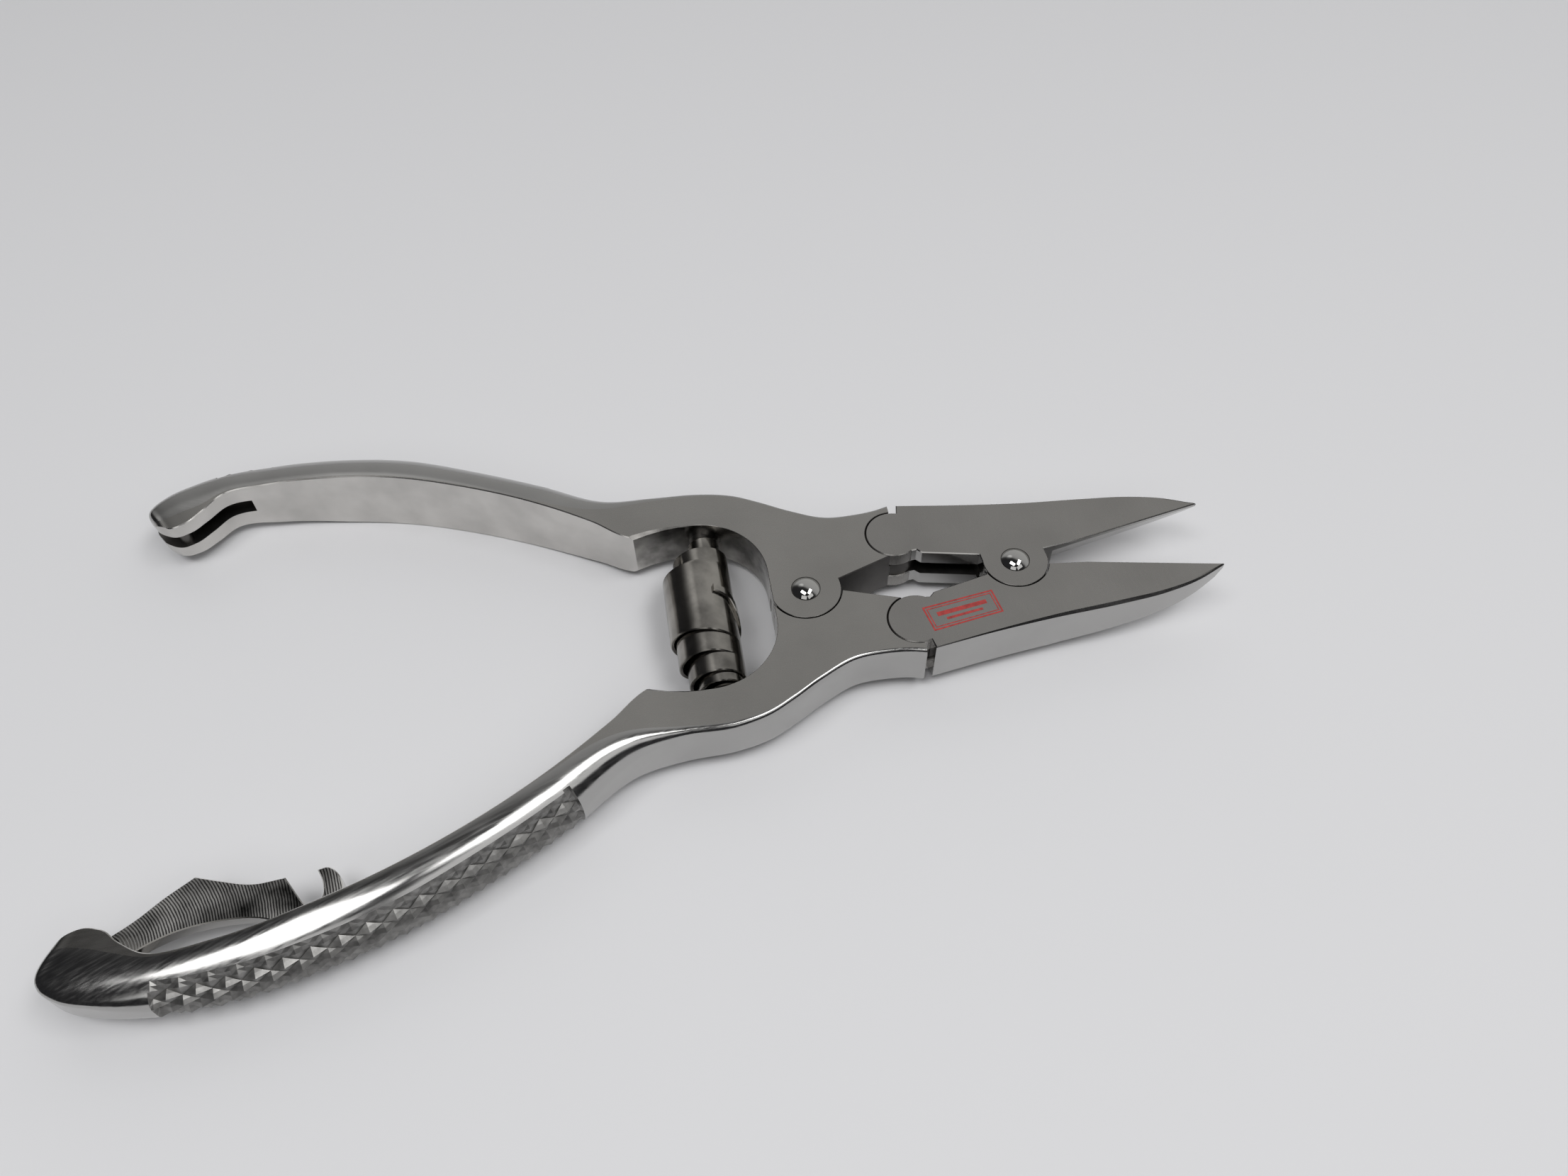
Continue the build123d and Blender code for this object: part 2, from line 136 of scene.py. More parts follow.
THINNEST = 3.4                          # half thickness that a handle doesn't go below
FULLEST = 0.96                          # most of a section's width or height that its rounding takes
RIM_HALF = 26                           # steps from the outermost line of a section to its flat top
ARC_SAMPLES, WALL_SAMPLES = 400, 60     # points that a section's outline is measured with
CHEQUER_FROM, CHEQUER_TO = -35.0, -90.5
CHEQUER_LONG, CHEQUER_ROUND = 3.5, 2.5  # diagonals of one diamond
CHEQUER_DEPTH, FIRST_CUT = 0.72, 0.35   # depth between the diamonds, and of the step where they start
CHEQUER_LEAD = 0.25                     # from the last plain section to that step
CHEQUER_BLEND = 8                       # quarter diamonds over which a section's points move to the rows
UPPER_ROWS, LOWER_ROWS = 6, 8           # quarter diamonds from the outermost line to where the cuts run out
STAMP = ((15.9, -6.3), (26.7, -4.8), (27.4, -8.9), (16.8, -10.6))   # corners of the printed frame
STAMP_SIZE = (10.8, 4.2)
STAMP_SUNK, STAMP_PROUD = 0.02, 0.012   # below and above the blade's face
STAMP_LINES = ((0.0, 0.26), (0.46, 0.16))                   # margin and width of each line of the frame
STAMP_BARS = ((1.6, 2.15, 2.85), (2.6, 1.25, 1.65))         # margin at the ends, and lower and upper side

# ---- blades, bay, spring and lever ---------------------------------------------------------------
BLADE_BACK = ((16.4, 13.4), (25.0, 12.1), (35.0, 10.9), (45.0, 10.1), (52.0, 9.3), (57.0, 8.1), (61.8, 6.05))
BLADE_UNDER = ((33.0, -3.75), (45.0, -2.6), (55.0, -0.6), (63.0, 2.4))
BACK_FROM, BACK_LONG = 18, 52           # start and length in x of the wider chamfer on a blade's back
BACK_WIDER, BACK_STEEP = 0.2, 2.2       # how much wider it is in the middle, and its height for its width
EDGE_LAND = 0.55
BEVEL_WIDTH = 4.2
BEVEL_START = 6.6                       # from the blade pivot
BAY, BAY_R = (-15.4, 4.4), 10.4         # centre and radius of the spring bay's upper round
STRIP = 0.5                             # thickness of the spring's strip
STRIP_START = 66.0                      # degrees round the spring's axis where its free end is
STRIP_ROWS = 13                         # points across the strip
TURN = 48                               # sections in one turn of it
RING_SCALE = 900                        # turning marks 0.35 mm apart
# along the strip, in turns from its free end: its lower and upper edges, and its middle in x and radius there
STRIP_LOW = ((0, 1.2), (0.08, 0.6), (0.2, -3.4), (0.3, -4.2), (0.68, -4.3), (0.93, -5.4), (1.18, -6.4),
             (1.68, -8.9), (1.93, -8.8), (2.18, -9.4), (2.68, -12.1), (2.93, -12.0), (3.3, -12.4),
             (3.68, -13.5), (5.3, -13.5))
STRIP_HIGH = ((0, 2.4), (0.07, 2.1), (0.18, -0.7), (0.3, -0.2), (0.45, 4.5), (0.68, 6.9), (0.93, 7.0),
              (1.3, 7.3), (1.5, 7.5), (2.4, 7.8), (2.6, 10.2), (4.2, 10.6), (4.45, 13.4), (5.3, 13.5))
STRIP_MIDDLE = ((0, -15.5), (1, -15.5), (2, -15.1), (3, -14.4), (4, -14.0), (5.3, -13.5))
STRIP_RADIUS = ((0, 5.5), (4, 3.45), (4.5, 2.4), (5.3, 2.2))


# ---- shapes --------------------------------------------------------------------------------------
def through(points, spacing):
    """A smooth curve through points of any dimension, sampled about every `spacing` in their plan."""
    rows = np.array(points, float)
    steps = np.linalg.norm(np.diff(rows[:, :2], axis=0), axis=1)
    knots = np.concatenate(([0.0], np.cumsum(steps)))
    slope = np.gradient(rows, knots, axis=0)
    places = np.linspace(0, knots[-1], max(2, int(round(knots[-1] / spacing)) + 1))
    at = np.clip(np.searchsorted(knots, places, side="right") - 1, 0, len(steps) - 1)
    span = (knots[at + 1] - knots[at])[:, None]
    t = ((places - knots[at])[:, None]) / span
    start, end = rows[at], rows[at + 1]
    return ((2 * t**3 - 3 * t**2 + 1) * start + (t**3 - 2 * t**2 + t) * span * slope[at]
            + (3 * t**2 - 2 * t**3) * end + (t**3 - t**2) * span * slope[at + 1])


def turned(point, angle, centre=(0.0, 0.0)):
    """A plan point turned about a centre, degrees, counter-clockwise."""
    c, s = math.cos(math.radians(angle)), math.sin(math.radians(angle))
    x, y = point[0] - centre[0], point[1] - centre[1]
    return (centre[0] + c * x - s * y, centre[1] + s * x + c * y)


def arc(centre, radius, start, end, count):
    """Plan points along an arc, degrees."""
    return [(centre[0] + radius * math.cos(math.radians(a)), centre[1] + radius * math.sin(math.radians(a)))
            for a in np.linspace(start, end, count)]


def circle(centre, radius, count=96):
    """Plan points of a full circle."""
    return arc(centre, radius, 0, 360 - 360 / count, count)


def added(name, data):
    """A new object in the scene."""
    made = bpy.data.objects.new(name, data)
    bpy.context.scene.collection.objects.link(made)
    return made


def solid(name, rings, finish=0, cap_finish=0, depth=None):
    """A closed piece from rings of points. finish is for all strips between the points, or one for each.

    depth says how far each point lies below the plain surface; its quads are then split along their grooves.
    """
    rings = [np.asarray(ring, float) for ring in rings]
    count = len(rings[0])
    strips = np.broadcast_to(finish, count)
    faces, finishes = [], []
    for i in range(len(rings) - 1):
        for j in range(count):
            k = (j + 1) % count
            a, b, c, d = i * count + j, i * count + k, (i + 1) * count + k, (i + 1) * count + j
            groove = 0.0 if depth is None else depth[i][j] + depth[i + 1][k] - depth[i][k] - depth[i + 1][j]
            if groove > 1e-6:
                faces += [(a, b, c), (a, c, d)]
            elif groove < -1e-6:
                faces += [(a, b, d), (b, c, d)]
            else:
                faces.append((a, b, c, d))
            finishes += [strips[j]] * (len(faces) - len(finishes))
    last = (len(rings) - 1) * count
    faces += [tuple(range(count - 1, -1, -1)), tuple(range(last, last + count))]
    finishes += [cap_finish, cap_finish]
    mesh = bpy.data.meshes.new(name)
    mesh.from_pydata(np.concatenate(rings).tolist(), [], faces)
    mesh.polygons.foreach_set("material_index", finishes)
    made = bmesh.new()
    made.from_mesh(mesh)
    bmesh.ops.recalc_face_normals(made, faces=made.faces)
    made.to_mesh(mesh)
    made.free()
    return added(name, mesh)


def inset(outline, distance):
    """A closed counter-clockwise outline moved inwards by a distance, one value or one per point."""
    points = np.array(outline, float)
    ahead = np.roll(points, -1, axis=0) - points
    ahead /= np.maximum(np.linalg.norm(ahead, axis=1), 1e-9)[:, None]
    behind = np.roll(ahead, 1, axis=0)
    normal = np.stack([-(ahead[:, 1] + behind[:, 1]), ahead[:, 0] + behind[:, 0]], axis=1)
    length = np.maximum(np.linalg.norm(normal, axis=1), 0.6)
    normal = normal / (length**2)[:, None] * 2
    return points + normal * np.broadcast_to(np.asarray(distance, float), len(points))[:, None]


def level(outline, height):
    """A plan outline at a height."""
    points = np.asarray(outline, float)
    return np.column_stack([points, np.full(len(points), height)])


def prism(name, outline, low, high, edge=0.0, finish=0):
    """An upright piece on a plan outline. edge is the chamfer round its top and bottom."""
    if edge:
        rings = [level(inset(outline, edge), low), level(outline, low + edge),
                 level(outline, high - edge), level(inset(outline, edge), high)]
    else:
        rings = [level(outline, low), level(outline, high)]
    return solid(name, rings, finish, finish)


def disc(name, centre, radius, low, high, edge=0.0, finish=0, count=96):
    """An upright disc."""
    return prism(name, circle(centre, radius, count), low, high, edge, finish)


def combine(piece, other, operation):
    """An exact Boolean; the other piece is used up."""
    change = piece.modifiers.new("change", "BOOLEAN")
    change.object = other
    change.operation = operation
    change.solver = "EXACT"
    change.material_mode = "INDEX"
    bpy.context.view_layer.update()
    result = bpy.data.meshes.new_from_object(piece.evaluated_get(bpy.context.evaluated_depsgraph_get()))
    piece.modifiers.clear()
    piece.data = result
    bpy.data.objects.remove(other)
    return piece


def cut(piece, *others):
    """Takes each other piece out of this one."""
    for other in others:
        combine(piece, other, "DIFFERENCE")
    return piece


def join(piece, *others):
    """Adds each other piece to this one."""
    for other in others:
        combine(piece, other, "UNION")
    return piece


def mirrored(piece):
    """The piece on the other side of the centre line."""
    piece.data.transform(Matrix.Diagonal((1, -1, 1, 1)))
    piece.data.flip_normals()
    return piece


def placed(piece, body, finishes, replaces=(), flat=()):
    """Finishes a piece: whole mesh, sharp edges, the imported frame's place, finishes, body and CAD node.

    flat has the finishes whose faces aren't smoothed.
    """
    mesh = bmesh.new()
    mesh.from_mesh(piece.data)
    bmesh.ops.remove_doubles(mesh, verts=mesh.verts, dist=WELD)
    bmesh.ops.dissolve_degenerate(mesh, edges=mesh.edges, dist=WELD)
    bmesh.ops.holes_fill(mesh, edges=[edge for edge in mesh.edges if edge.is_boundary])
    limit = math.radians(SHARP)
    for face in mesh.faces:
        face.smooth = face.material_index not in flat
    for edge in mesh.edges:
        faces = edge.link_faces
        plain = len(faces) == 2 and faces[0].material_index == faces[1].material_index
        edge.smooth = plain and edge.calc_face_angle(0.0) < limit
    mesh.to_mesh(piece.data)
    mesh.free()
    piece.data.transform(Matrix.Scale(0.001, 4) @ Matrix.Translation(SHIFT))
    faces = piece.data.polygons
    indices = [face.material_index for face in faces]
    piece.data.materials.clear()
    for finish in finishes:
        piece.data.materials.append(finish)
    faces.foreach_set("material_index", indices)
    if replaces:
        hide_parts(*replaces)
    if body:
        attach(piece, body)
    return piece


# ---- finishes ------------------------------------------------------------------------------------
def new_material(name):
    """A new material, with its nodes, links and shader."""
    material = bpy.data.materials.new(name)
    material.use_nodes = True
    nodes = material.node_tree.nodes
    return material, nodes, material.node_tree.links, nodes["Principled BSDF"]


def noise(nodes, links, vector, scale, detail):
    """A noise output."""
    cloud = nodes.new("ShaderNodeTexNoise")
    cloud.inputs["Scale"].default_value = scale
    cloud.inputs["Detail"].default_value = detail
    links.new(vector, cloud.inputs["Vector"])
    return cloud.outputs["Fac"]


def remapped(nodes, links, value, start, end=(0.0, 1.0)):
    """An output that takes a value from the range start to the range end."""
    remap = nodes.new("ShaderNodeMapRange")
    for socket, number in zip(("From Min", "From Max", "To Min", "To Max"), (*start, *end)):
        remap.inputs[socket].default_value = number
    links.new(value, remap.inputs["Value"])
    return remap.outputs["Result"]


def metal(name, colour, roughness, grain=(400, 400, 400), depth=0.004, stain=0.1, spread=0.02,
          stain_size=90.0, turn=0.0, rings=None):
    """A procedural metal: grain lines that change gloss and height, and larger stains that darken it.

    turn is the direction of the grain in degrees. With rings, the height comes from turning marks round it.
    """
    material, nodes, links, shader = new_material(name)
    shader.inputs["Metallic"].default_value = 1.0
    where = nodes.new("ShaderNodeTexCoord").outputs["Object"]
    aligned = nodes.new("ShaderNodeVectorRotate")
    aligned.rotation_type = "Z_AXIS"
    aligned.inputs["Angle"].default_value = math.radians(-turn)
    links.new(where, aligned.inputs["Vector"])
    stretch = nodes.new("ShaderNodeMapping")
    stretch.inputs["Scale"].default_value = grain
    links.new(aligned.outputs["Vector"], stretch.inputs["Vector"])
    lines = noise(nodes, links, stretch.outputs["Vector"], 1.0, 4.0)
    gloss = remapped(nodes, links, lines, (0.3, 0.7), (max(0.02, roughness - spread), roughness + spread))
    links.new(gloss, shader.inputs["Roughness"])
    height = nodes.new("ShaderNodeBump")
    height.inputs["Strength"].default_value = depth
    height.inputs["Distance"].default_value = 0.0001
    links.new(turning_marks(nodes, links, where, rings) if rings else lines, height.inputs["Height"])
    links.new(height.outputs["Normal"], shader.inputs["Normal"])
    links.new(stained(nodes, links, where, colour, stain, stain_size), shader.inputs["Base Color"])
    return material


def turning_marks(nodes, links, where, point):
    """A height output: rings round a point of the design frame."""
    centre = nodes.new("ShaderNodeMapping")
    centre.inputs["Location"].default_value = [-(at + offset) / 1000 for at, offset in zip(point, SHIFT)]
    links.new(where, centre.inputs["Vector"])
    marks = nodes.new("ShaderNodeTexWave")
    marks.wave_type = "RINGS"
    marks.rings_direction = "Z"
    marks.inputs["Scale"].default_value = RING_SCALE
    marks.inputs["Distortion"].default_value = 1.5
    links.new(centre.outputs["Vector"], marks.inputs["Vector"])
    return marks.outputs["Fac"]


def stained(nodes, links, where, colour, stain, size):
    """A colour output: the colour, darkened in soft patches."""
    mix = nodes.new("ShaderNodeMix")
    mix.data_type = "RGBA"
    mix.inputs["A"].default_value = (*colour, 1)
    mix.inputs["B"].default_value = (*(value * (1 - stain) for value in colour), 1)
    cloud = noise(nodes, links, where, size, 5.0)
    links.new(remapped(nodes, links, cloud, (0.35, 0.7)), mix.inputs["Factor"])
    return mix.outputs["Result"]


def printed(name, colour):
    """Stamped ink: matt, thinner in places."""
    material, nodes, links, shader = new_material(name)
    shader.inputs["Roughness"].default_value = 0.55
    where = nodes.new("ShaderNodeTexCoord").outputs["Object"]
    links.new(stained(nodes, links, where, colour, 0.4, 1500.0), shader.inputs["Base Color"])
    return material


GRIP_ANGLE = 23.0                       # of the grips to the centre line
SATIN = metal("satin_top", (0.36, 0.35, 0.332), 0.27, (400, 1800, 400))
BLADE = metal("satin_blade", (0.335, 0.325, 0.31), 0.27, (1800, 400, 400))
BRUSHED = (180, 3200, 3200)
LOWER_SIDE = metal("polished_lower_side", (0.46, 0.455, 0.445), 0.17, BRUSHED, 0.02, spread=0.06,
                   turn=GRIP_ANGLE)
# the upper handle's sides are the same polished steel as the lower's, given a darker colour: painted shade
SHADED_UPPER_SIDE = metal("polished_upper_side_painted_shade", (0.38, 0.375, 0.365), 0.17, BRUSHED, 0.02, spread=0.06,
                   turn=-GRIP_ANGLE)
POLISHED = metal("polished_back", (0.46, 0.455, 0.445), 0.09, (300, 300, 1800))
# the inner faces: satin steel with a colour far lighter than the top's, painted reflection of the bright
# floor they face
LIT_INNER = metal("satin_inner_face_painted_reflection", (0.66, 0.645, 0.62), 0.20, (300, 300, 2500), 0.005, 0.22, stain_size=150.0)
BAY_WALL = metal("spring_bay_wall", (0.52, 0.505, 0.48), 0.22, (300, 300, 2500), 0.01, 0.75, 0.04, 260.0)
MATTE = metal("matte_chequering", (0.32, 0.315, 0.305), 0.42, (1500, 1500, 1500), 0.03, 0.45, 0.04, 700.0)
# a near-black steel colour for the seats, bores and hollow faces and the pegs and pins in them: painted shade
# in the hollows
SHADED_SEAT = metal("seat_painted_shade", (0.14, 0.134, 0.128), 0.38, (1500, 1500, 1500), 0.02, 0.3, 0.04)
EDGE = metal("ground_edge", (0.42, 0.41, 0.395), 0.14, (400, 400, 2500), 0.005)
MIRROR = metal("mirror_rivet", (0.50, 0.495, 0.48), 0.05, (400, 400, 400), 0.002, 0.05, 0.01)
SPRING = metal("burnished_spring", (0.37, 0.353, 0.325), 0.17, (1200, 200, 1200), 0.004, 0.6, 0.03, 220.0)
LEVER = metal("dark_lever", (0.54, 0.53, 0.51), 0.27, (600, 600, 600), 0.5, 0.95, 0.05, 170.0,
              rings=(*LEVER_PIVOT, 0.0))
# the lever's side walls: a near-white steel colour, painted reflection of the bright floor beside them
LIT_LEVER_EDGE = metal("lever_edge_painted_reflection", (0.78, 0.77, 0.75), 0.16, (600, 600, 2500), 0.005)
INK = printed("stamp_ink", (0.50, 0.05, 0.045))
TOP, SIDE, INSIDE, ROUGH, HOLLOW, WALL = range(6)       # a handle's finishes
FLAT, GROUND, SUNK, BACK = range(4)                     # a blade's finishes


# ---- handles -------------------------------------------------------------------------------------
def handle_rows(grip):
    """The stations as rows: inner x and y, outer x and y, half thickness, rounding out and up."""
    table = [(*station[0], *station[1], *station[2:]) for station in HEAD_STATIONS + grip]
    rows = np.array(table, float)
    outer = rows[:, [2, 3, 0, 1, 4, 5, 6]]
    smooth = through(outer, STEP)
    known = positions(smooth[:, :2], outer[:, :2])
    straight = np.array([np.interp(np.arange(len(smooth)), known, rows[:, axis]) for axis in (0, 1)]).T
    head = smooth[:, 0] > HEAD_END
    inner = np.where(head[:, None], straight, smooth[:, 2:4])
    half = np.maximum(smooth[:, 4], THINNEST)
    half[head] = np.maximum(half[head], HEAD)
    width = np.linalg.norm(smooth[:, :2] - inner, axis=1)
    out = np.minimum(smooth[:, 5], FULLEST * width)
    up = np.minimum(smooth[:, 6], FULLEST * half)
    return np.column_stack([inner, smooth[:, :2], half, out, up])


def positions(dense, sparse):
    """Index in the dense curve of each sparse point."""
    return [int(np.argmin(np.linalg.norm(dense - point, axis=1))) for point in sparse]


def end_rounded(rows, radius=1.2, count=7):
    """The sections with the last ones shrunk, so that the end's edges are rounded.

    The inner side comes in half as far as the outer one, and the section's own rounding shrinks less.
    """
    shrinks = np.array([0.5, 0.5, -1, -1, -1, -0.8, -0.8])
    first = len(rows) - 1 - int(round(radius / STEP))
    start, last = rows[first], rows[-1]
    ends = []
    for turn in np.linspace(0, math.pi / 2, count):
        row = start + (last - start) * math.sin(turn)
        across = (row[2:4] - row[0:2]) / np.linalg.norm(row[2:4] - row[0:2])
        ends.append(row + radius * (1 - math.cos(turn)) * shrinks * np.array([*across, *across, 1, 1, 1]))
    return np.vstack([rows[:first], ends])


def lengths(points):
    """Distance travelled along a row of points."""
    return np.concatenate(([0.0], np.cumsum(np.linalg.norm(np.diff(points, axis=0), axis=1))))


def spaced(rows):
    """The sections at the spacing they need, each one's place along the chequering, and its length.

    The last two are in quarter diamonds.
    """
    travelled = lengths(rows[:, 2:4])
    start, stop = np.interp((-CHEQUER_FROM, -CHEQUER_TO), -rows[:, 2], travelled)
    quarter = CHEQUER_LONG / 4
    count = 4 * int((stop - start) / CHEQUER_LONG)
    places = np.concatenate((np.linspace(0, start - CHEQUER_LEAD, int(start / HEAD_STEP)),
                             start + quarter * np.arange(count + 1),
                             np.arange(start + quarter * count + STEP, travelled[-1], STEP)))
    sections = np.array([np.interp(places, travelled, column) for column in rows.T]).T
    return sections, (places - start) / quarter, count


def section_rim(half, out, up, width, share, last):
    """The outer side of a section from its outermost line up to its flat top, and the distance along it.

    share moves the points from even steps (0) to the chequering's own rows (1), of which there are `last`.
    """
    quarter = np.linspace(0, math.pi / 2, ARC_SAMPLES)
    wall = np.linspace(0, half - up, WALL_SAMPLES)[:-1]
    rounding = np.column_stack([width - out + out * np.cos(quarter), half - up + up * np.sin(quarter)])
    upper = np.vstack([np.column_stack([np.full(len(wall), width), wall]), rounding])
    length = lengths(upper)
    even = np.linspace(0, length[-1], RIM_HALF + 1)
    row = CHEQUER_ROUND / 4
    rows = np.concatenate((row * np.arange(last), np.linspace(row * last, length[-1], RIM_HALF + 1 - last)))
    around = even + share * (rows - even)
    points = np.column_stack([np.interp(around, length, upper[:, k]) for k in (0, 1)])
    return points, around / row


def cut_depth(along, around, last):
    """Depth of the chequering, 0 at the points of the diamonds, from places in quarter diamonds."""
    row = np.minimum(around, last - 2)
    groove = np.minimum(*(1 - 2 * np.abs((along + side * row) / 4 % 1 - 0.5) for side in (1, -1)))
    run_out = np.clip((last - around) / 2, 0, 1)
    return CHEQUER_DEPTH * (1 - groove) * run_out


def handle_body(name, grip, last):
    """The swept body of a handle, drawn on the upper side."""
    rows, alongs, count = spaced(end_rounded(handle_rows(grip)))
    rings, depths = [], []
    for row, along in zip(rows, alongs):
        inner, outer, (half, out, up) = row[0:2], row[2:4], row[4:7]
        width = np.linalg.norm(outer - inner)
        share = np.clip(min(along, count - along) / CHEQUER_BLEND + 1, 0, 1)
        rim, around = section_rim(half, out, up, width, share, last)
        tangent = np.gradient(rim, axis=0)
        normal = np.column_stack([tangent[:, 1], -tangent[:, 0]])
        normal /= np.linalg.norm(normal, axis=1)[:, None]
        deep = cut_depth(along, around, last) if -SMALL <= along <= count + SMALL else np.zeros(len(rim))
        if abs(along) < SMALL:
            deep = np.where(around < last + 0.5, np.maximum(deep, FIRST_CUT), 0)
        rim = rim - normal * deep[:, None]
        section = np.vstack([[(BREAK, -half), (0, BREAK - half), (0, half - BREAK), (BREAK, half)],
                             rim[::-1], rim[1:] * (1, -1)])
        rings.append(np.column_stack([inner + section[:, :1] * (outer - inner) / width, section[:, 1]]))
        depths.append(np.concatenate([np.zeros(4), deep[::-1], deep[1:]]))
    finish = [INSIDE, INSIDE, INSIDE, TOP] + [SIDE] * (2 * RIM_HALF) + [TOP]
    body = solid(name, rings, finish, SIDE, depths)
    sunk = np.concatenate(depths) > SMALL
    for face in body.data.polygons:
        if sunk[list(face.vertices)].any():
            face.material_index = ROUGH
        # the inner side beside the lug takes the hollows' near-black colour too: painted shade
        elif face.material_index == INSIDE and face.center.x > LUG_FROM:
            face.material_index = HOLLOW
    return body


def bay_outline():
    """Plan of the spring bay, counter-clockwise, open to the rear."""
    corner = (-24.0, 13.5)
    upper = arc(BAY, BAY_R, 0, 90, 24) + [(-17.5, 14.78), (-19.4, 14.6), (-21.8, 14.15), corner]
    lower = [(x, -y) for x, y in reversed(upper)]
    return upper + [(-26.0, 12.4), (-26.0, -12.4)] + lower


def half_seat(name, centre, radius, lug_low, lug_high, finish):
    """A cutter for the other lug's round seat: the half of the thickness that this lug leaves, flared out."""
    ring = circle(centre, radius)
    wide = circle(centre, radius + 1 + RIM_BREAK)
    if lug_low > -HEAD:
        levels = [(wide, -HEAD - 1), (ring, -HEAD + RIM_BREAK), (ring, lug_low)]
    else:
        levels = [(ring, lug_high), (ring, HEAD - RIM_BREAK), (wide, HEAD + 1)]
    return solid(name, [level(outline, height) for outline, height in levels], finish, finish)


def lug(piece, centre, radius, low, high, finish):
    """Adds a half-lapped lug to a piece and cuts the seat for the other one."""
    join(piece, disc("lug", centre, radius, low, high, RIM_BREAK))
    return cut(piece, half_seat("lug_seat", centre, radius + LUG_GAP, low, high, finish))


def rivet_holes(centre, radius, finish):
    """Cutters for a rivet's hole and the shallow recess round each of its domes."""
    recess = DOME + GAP
    return (disc("rivet_hole", centre, radius, -HEAD - 1, HEAD + 1, finish=finish, count=48),
            disc("recess", centre, recess, HEAD - RECESS, HEAD + 1, finish=finish, count=48),
            disc("recess", centre, recess, -HEAD - 1, RECESS - HEAD, finish=finish, count=48))


def head_details(body, lug_low, lug_high):
    """The lug, seats and tongue at the front of a handle, and the spring bay."""
    lug(body, (0, 0), HANDLE_LUG, lug_low, lug_high, HOLLOW)
    cut(body, bay_cutter())
    cut(body, half_seat("knuckle_seat", KNUCKLE, KNUCKLE_DISC + GAP, -HEAD, TONGUE, HOLLOW),
        half_seat("knuckle_seat", KNUCKLE, KNUCKLE_DISC + GAP, -TONGUE, HEAD, HOLLOW))
    join(body, disc("tongue", KNUCKLE, TONGUE_DISC, -TONGUE, TONGUE, finish=HOLLOW))
    return cut(body, disc("pin_hole", KNUCKLE, TONGUE_HOLE, -HEAD, HEAD, finish=HOLLOW, count=40))


def bay_cutter():
    """A cutter for the spring bay, whose rims are chamfered at the height of the head's faces."""
    levels = [(-1 - RIM_BREAK, -HEAD - 1), (0, -HEAD + RIM_BREAK),
              (0, HEAD - RIM_BREAK), (-1 - RIM_BREAK, HEAD + 1)]
    rings = [level(inset(bay_outline(), distance), height) for distance, height in levels]
    return solid("bay", rings, WALL, WALL)


def slot_cutter(outline):
    """A cutter for a slot in the middle of the thickness."""
    return prism("slot", outline, -SLOT, SLOT, finish=HOLLOW)


def upper_handle():
    """The far handle, with its slotted end."""
    body = head_details(handle_body("upper_handle_body", UPPER_GRIP, UPPER_ROWS), LAP, HEAD)
    cut(body, *rivet_holes((0, 0), UPPER_BORE, HOLLOW))
    slot = [(-83.0, 31.0), (-83.0, 36.2), (-88.0, 35.6), (-90.6, 34.2), (-92.6, 33.9), (-98.0, 38.0),
            (-106.0, 30.0), (-100.0, 20.0), (-88.0, 20.0)]
    return cut(body, slot_cutter(slot))


def lower_handle():
    """The near handle, with the deep slot that the lever folds into."""
    body = head_details(handle_body("lower_handle_body", LOWER_GRIP, LOWER_ROWS), -HEAD, -LAP)
    cut(body, *rivet_holes((0, 0), LOWER_BORE, HOLLOW))
    slot = [(-64.8, 30.0), (-64.8, 39.0), (-75.0, 42.1), (-85.0, 43.1), (-95.8, 43.2), (-98.4, 41.9),
            (-99.4, 39.7), (-99.4, 30.0)]
    return mirrored(cut(body, slot_cutter(slot)))


# ---- blades --------------------------------------------------------------------------------------
def blade_outline():
    """Plan of a blade, counter-clockwise, and the width of its back's chamfer at each point."""
    tip = turned((BLADE_PIVOT[0] + TIP_REACH, EDGE_OFF), BLADE_ANGLE, BLADE_PIVOT)
    front = [tip, (42.0, 2.1), (36.4, 1.45), (36.3, 0.0), (26.75, 0.0), (26.65, 1.9), (18.3, 3.7),
             (17.6, 4.4), (14.3, 4.1), KNUCKLE, (16.1, 11.9)]
    back = through(BLADE_BACK, 0.8)
    along = math.pi * (back[:, 0] - BACK_FROM) / BACK_LONG
    chamfer = np.concatenate((BREAK + BACK_WIDER * np.maximum(0.0, np.sin(along)) ** 2, [BREAK] * len(front)))
    outline = np.vstack([back, front])
    return outline[::-1], chamfer[::-1]


def blade_body(name):
    """A blade before its lug and seats."""
    outline, chamfer = blade_outline()
    rings = [level(inset(outline, BREAK), -HEAD), level(outline, -HEAD + BREAK),
             np.column_stack([outline, HEAD - BREAK - BACK_STEEP * (chamfer - BREAK)]),
             level(inset(outline, chamfer), HEAD)]
    body = solid(name, rings)
    for face in body.data.polygons:
        if abs(face.normal.z) < LEVEL_FACE:
            face.material_index = GROUND if face.index >= 2 * len(outline) else BACK
    return body


def under_cut():
    """A cutter that thins a blade towards its tip from below."""
    side = np.vstack([through(BLADE_UNDER, 1.5), [(64.0, -9.0), (33.0, -9.0)]])
    return solid("under_cut", [[(x, y, z) for x, z in side] for y in (-5.0, 20.0)], GROUND, GROUND)


def bevel_cut():
    """A cutter for the ground bevel under the cutting edge."""
    top = HEAD - EDGE_LAND
    outline = [(0, top), (-3, top), (-3, -5), (BEVEL_WIDTH, -5)]
    rings = []
    for x in (BEVEL_START, TIP_REACH + 1):
        rings.append([(*turned((BLADE_PIVOT[0] + x, EDGE_OFF + y), BLADE_ANGLE, BLADE_PIVOT), z)
                      for y, z in outline])
    return solid("bevel_cut", rings, GROUND, GROUND)


